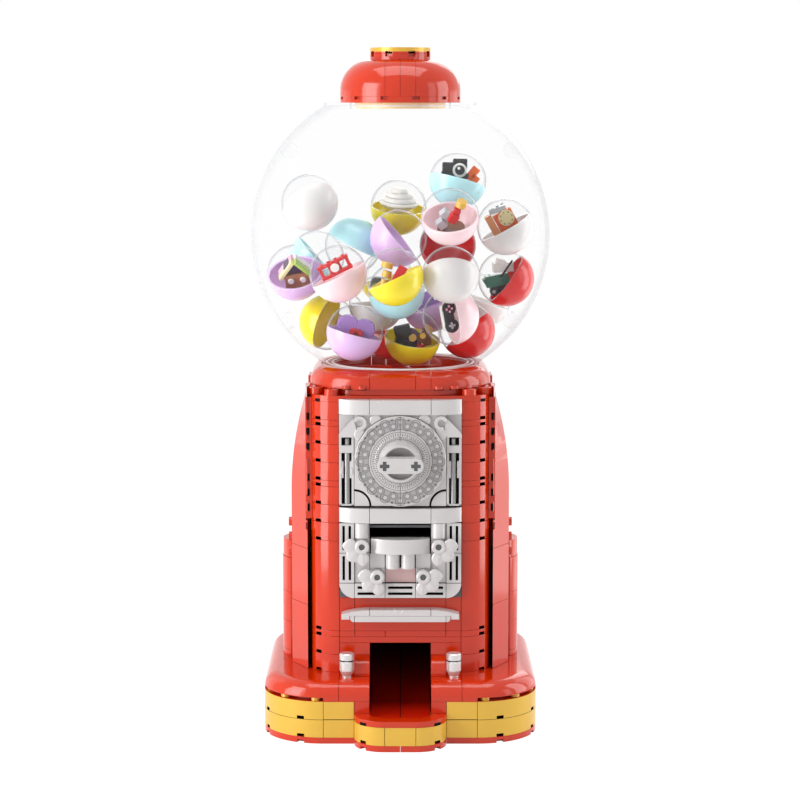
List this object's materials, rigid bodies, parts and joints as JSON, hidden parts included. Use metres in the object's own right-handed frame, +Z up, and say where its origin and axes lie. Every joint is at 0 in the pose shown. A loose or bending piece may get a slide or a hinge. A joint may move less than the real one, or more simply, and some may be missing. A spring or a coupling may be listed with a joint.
{
  "type": "gumball machine",
  "caption": "Brick-built gumball machine: banded base with tray, silver coin face with a turning dial, clear globe of toy capsules, domed lid.",
  "frame": {"origin": "centre of the base's underside", "axes": "+Z up, -Y is the front with the coin face, +X to the viewer's right"},
  "size_m": [0.16, 0.168, 0.3594],
  "materials": {
    "red_plastic": "gloss",
    "gold_plastic": "gloss",
    "silver_plastic": "gloss",
    "dark_grey_plastic": "gloss",
    "clear_plastic": "gloss",
    "capsule_white": "gloss",
    "capsule_yellow": "gloss",
    "capsule_blue": "gloss",
    "capsule_purple": "gloss",
    "capsule_pink": "gloss",
    "capsule_red": "gloss",
    "toy_plastic": "gloss"
  },
  "bodies": {
    "cabinet": {"base_plate": "red_plastic", "tray_plate": "red_plastic", "gold_band_lower": "gold_plastic", "gold_band_upper": "gold_plastic", "tray_gold_band": "gold_plastic", "tray_rim": "red_plastic", "base_deck": "red_plastic", "chute_ramp": "red_plastic", "chute_walls": "red_plastic", "drop_channel": "red_plastic", "guard_posts": "silver_plastic", "front_column_left": "red_plastic", "front_column_right": "red_plastic", "rear_columns": "red_plastic", "lower_front_wall": "red_plastic", "hood_bar": "silver_plastic", "front_wall": "red_plastic", "side_walls": "red_plastic", "rear_wall": "red_plastic", "front_wings": "red_plastic", "rear_wings": "red_plastic", "side_ribs": "red_plastic", "floor_plate": "red_plastic", "ledge_ring": "red_plastic", "shoulder": "red_plastic", "face_panel_lower": "silver_plastic", "face_panel_upper": "silver_plastic", "face_bands": "silver_plastic", "face_trim": "silver_plastic", "face_linkages": "silver_plastic", "bearing_beams": "dark_grey_plastic", "coin_box": "dark_grey_plastic", "globe_front": "clear_plastic", "globe_rear": "clear_plastic", "globe_collar": "clear_plastic", "capsule_clear_halves": "clear_plastic", "capsule_cups_white": "capsule_white", "capsule_cups_yellow": "capsule_yellow", "capsule_cups_blue": "capsule_blue", "capsule_cups_purple": "capsule_purple", "capsule_cups_pink": "capsule_pink", "capsule_cups_red": "capsule_red", "capsule_toys": "toy_plastic"},
    "dial": {"dial_left_half": "silver_plastic", "dial_right_half": "silver_plastic", "dial_hub": "silver_plastic", "dial_handle": "silver_plastic", "dial_pins": "dark_grey_plastic", "dial_axle": "dark_grey_plastic", "dial_gear": "dark_grey_plastic"},
    "rotor": {"rotor_gear": "dark_grey_plastic", "rotor_shaft": "dark_grey_plastic", "rotor": "red_plastic"},
    "lid": {"lid_plates": "red_plastic", "lid_dome": "red_plastic", "lid_gold_plates": "gold_plastic"},
    "nut_upper_left": {"wing_nut_upper_left": "silver_plastic"},
    "nut_upper_right": {"wing_nut_upper_right": "silver_plastic"},
    "nut_lower_left": {"wing_nut_lower_left": "silver_plastic"},
    "nut_lower_right": {"wing_nut_lower_right": "silver_plastic"}
  },
  "joints": [
    {"name": "rotor_turn", "type": "hinge", "parent": "cabinet", "child": "rotor", "pos_m": [0, 0, 0.18], "axis": [0, 0, 1], "continuous": true},
    {"name": "dial_turn", "type": "hinge", "parent": "cabinet", "child": "dial", "pos_m": [0, -0.056, 0.1458], "axis": [0, -1, 0], "continuous": true},
    {"name": "lid_lift", "type": "slide", "parent": "cabinet", "child": "lid", "axis": [0, 0, 1], "range_m": [0, 0.05]},
    {"name": "nut_upper_left_turn", "type": "hinge", "parent": "cabinet", "child": "nut_upper_left", "pos_m": [-0.02, -0.0545, 0.1008], "axis": [0, -1, 0], "range_deg": [-60, 0]},
    {"name": "nut_upper_right_turn", "type": "hinge", "parent": "cabinet", "child": "nut_upper_right", "pos_m": [0.02, -0.0545, 0.1008], "axis": [0, 1, 0], "range_deg": [-60, 0]},
    {"name": "nut_lower_left_turn", "type": "hinge", "parent": "cabinet", "child": "nut_lower_left", "pos_m": [-0.012, -0.0545, 0.0848], "axis": [0, -1, 0], "range_deg": [0, 60]},
    {"name": "nut_lower_right_turn", "type": "hinge", "parent": "cabinet", "child": "nut_lower_right", "pos_m": [0.012, -0.0545, 0.0848], "axis": [0, 1, 0], "range_deg": [0, 60]}
  ],
  "couplings": [
    {"joint": "dial_turn", "follows": "rotor_turn", "ratio": -1}
  ]
}
